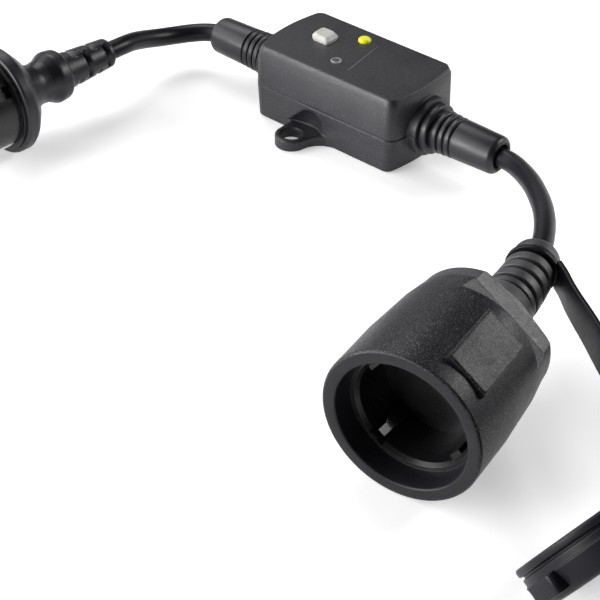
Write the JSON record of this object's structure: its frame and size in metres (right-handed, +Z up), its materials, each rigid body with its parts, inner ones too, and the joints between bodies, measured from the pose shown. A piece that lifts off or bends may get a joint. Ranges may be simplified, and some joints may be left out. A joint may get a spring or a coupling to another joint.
{
  "type": "residual current device adapter cable",
  "caption": "Short rubber extension lead: earthed plug, inline box with reset and test buttons, and an earthed splash-proof coupling with a tethered cap.",
  "frame": {"origin": "centre of the inline box's underside, where it rests", "axes": "+X along the box from the plug's side to the coupling's side, +Y away from the hanging lug, +Z up through the buttons"},
  "size_m": [0.3606, 0.2135, 0.0588],
  "materials": {
    "case_plastic": "fine-grained black moulding, satin",
    "sleeve_rubber": "matt black moulded rubber",
    "cable_jacket": "smooth satin black cable jacket",
    "socket_plastic": "grained black moulding",
    "cap_rubber": "soft matt black rubber",
    "gasket_rubber": "soft dark grey rubber",
    "button_white": "satin off-white",
    "button_yellow": "satin yellow",
    "lens_clear": "frosted clear plastic",
    "bezel_grey": "pale grey ring",
    "contact_metal": "bright brass",
    "plated_metal": "nickel-plated, satin",
    "screw_steel": "zinc-plated steel",
    "board": "green board",
    "mechanism_plastic": "natural beige plastic",
    "component": "dark moulded parts",
    "ferrite": "dark grey ring core",
    "copper": "enamelled copper",
    "core_insulation": "smooth plastic insulation"
  },
  "bodies": {
    "base": {"case_bottom": "case_plastic", "case_top": "case_plastic", "case_gasket": "gasket_rubber", "case_screws": "screw_steel", "reset_spring": "screw_steel", "test_spring": "screw_steel", "test_switch": "mechanism_plastic", "test_contact": "contact_metal", "indicator_lens": "lens_clear", "indicator_bezel": "bezel_grey", "circuit_board": "board", "board_components": "component", "transformer_core": "ferrite", "transformer_winding": "copper", "transformer_cradle": "mechanism_plastic", "trip_bobbin": "mechanism_plastic", "trip_winding": "copper", "contact_frame": "mechanism_plastic", "fixed_contacts": "contact_metal", "case_cores_in": "core_insulation", "case_cores_out": "core_insulation", "clamp_bars": "case_plastic", "clamp_screws": "screw_steel", "gland_in": "sleeve_rubber", "gland_out": "sleeve_rubber", "jacket_in": "cable_jacket", "jacket_out": "cable_jacket", "supply_cord": "cable_jacket", "outlet_cord": "cable_jacket", "plug_body": "sleeve_rubber", "plug_insert": "socket_plastic", "plug_pins": "plated_metal", "plug_earth_strips": "plated_metal", "plug_cores": "core_insulation", "plug_jacket": "cable_jacket", "coupling_shell": "socket_plastic", "socket_insert": "socket_plastic", "contact_carrier": "socket_plastic", "socket_contacts": "contact_metal", "earth_clips": "plated_metal", "coupling_cover": "socket_plastic", "coupling_boot": "sleeve_rubber", "coupling_cores": "core_insulation", "coupling_jacket": "cable_jacket"},
    "reset": {"reset_button": "button_white"},
    "carriage": {"contact_carriage": "mechanism_plastic", "moving_contacts": "contact_metal"},
    "test": {"test_button": "button_yellow"},
    "plunger": {"trip_plunger": "screw_steel"},
    "ring": {"tether_ring": "cap_rubber"},
    "strap": {"tether_strap": "cap_rubber"},
    "cap": {"protective_cap": "cap_rubber"}
  },
  "joints": [
    {"name": "reset_press", "type": "slide", "parent": "base", "child": "reset", "axis": [0, 0, -1], "range_m": [0, 0.0022], "stiffness_N_per_m": 600, "deforming": ["reset_spring"]},
    {"name": "carriage_slide", "type": "slide", "parent": "base", "child": "carriage", "axis": [0, 0, -1], "range_m": [0, 0.0022]},
    {"name": "test_press", "type": "slide", "parent": "base", "child": "test", "axis": [0, 0, -1], "range_m": [0, 0.0009], "stiffness_N_per_m": 700, "deforming": ["test_spring"]},
    {"name": "trip_pull", "type": "slide", "parent": "base", "child": "plunger", "axis": [1, 0, 0], "range_m": [0, 0.0012], "stiffness_N_per_m": 400},
    {"name": "ring_turn", "type": "hinge", "parent": "base", "child": "ring", "pos_m": [0.13395, -0.06878, 0.028], "axis": [0.2791, -0.9603, 0], "range_deg": [0, 60]},
    {"name": "strap_bend", "type": "hinge", "parent": "ring", "child": "strap", "pos_m": [0.1449, -0.06721, 0.028], "axis": [0, 0, 1], "range_deg": [-3, 35], "stiffness_Nm_per_rad": 0.08},
    {"name": "cap_bend", "type": "hinge", "parent": "strap", "child": "cap", "pos_m": [0.22286, -0.12399, 0.03127], "axis": [0.4788, -0.0758, 0.8746], "range_deg": [-8, 60], "stiffness_Nm_per_rad": 0.08}
  ],
  "couplings": [
    {"joint": "carriage_slide", "follows": "reset_press", "ratio": 1}
  ]
}
